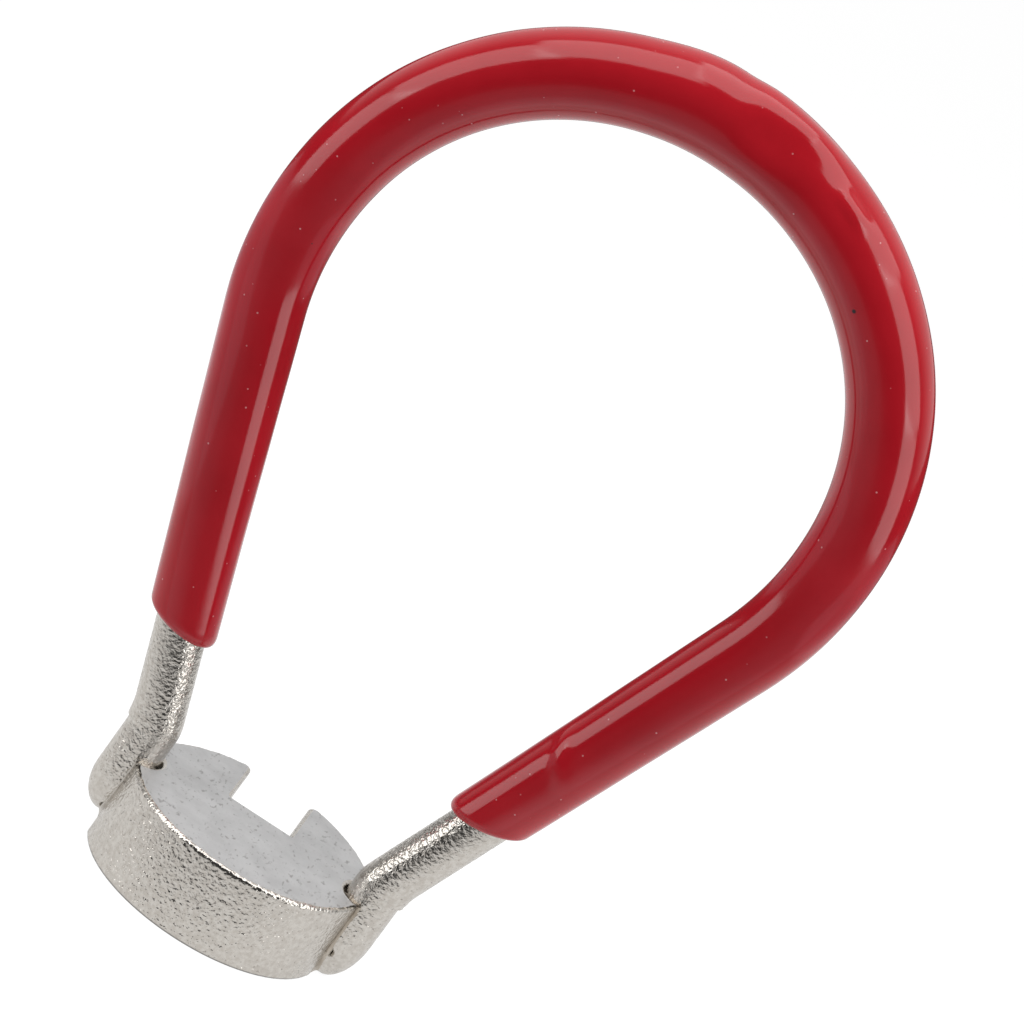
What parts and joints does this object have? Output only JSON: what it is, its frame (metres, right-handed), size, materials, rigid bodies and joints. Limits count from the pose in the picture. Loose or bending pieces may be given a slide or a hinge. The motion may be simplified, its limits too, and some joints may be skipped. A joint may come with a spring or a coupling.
{
  "type": "spoke wrench",
  "caption": "Slotted round steel head brazed between the feet of a bent wire hoop, whose bow and legs wear a red dipped vinyl coat.",
  "frame": {"origin": "centre of the head's lower flat face", "axes": "+Z square to the head's two flat faces, towards the bow; +Y out of the nipple slot's mouth; the hoop lies in the XZ plane. The head's axis, its slot and the hoop lean 3.2 degrees from Z towards +X"},
  "size_m": [0.0348, 0.0129, 0.0507],
  "materials": {
    "plated_head": "nickel plating, matte and finely pitted on the two faces, dimpled on the side",
    "plated_wire": "nickel plating over crinkled wire",
    "filler": "brazing filler with a tan tint, plated over",
    "red_vinyl": "dipped vinyl, smooth and glossy"
  },
  "bodies": {
    "root": {"head": "plated_head", "wire_hoop": "plated_wire", "left_braze": "filler", "right_braze": "filler", "vinyl_grip": "red_vinyl"}
  },
  "joints": []
}
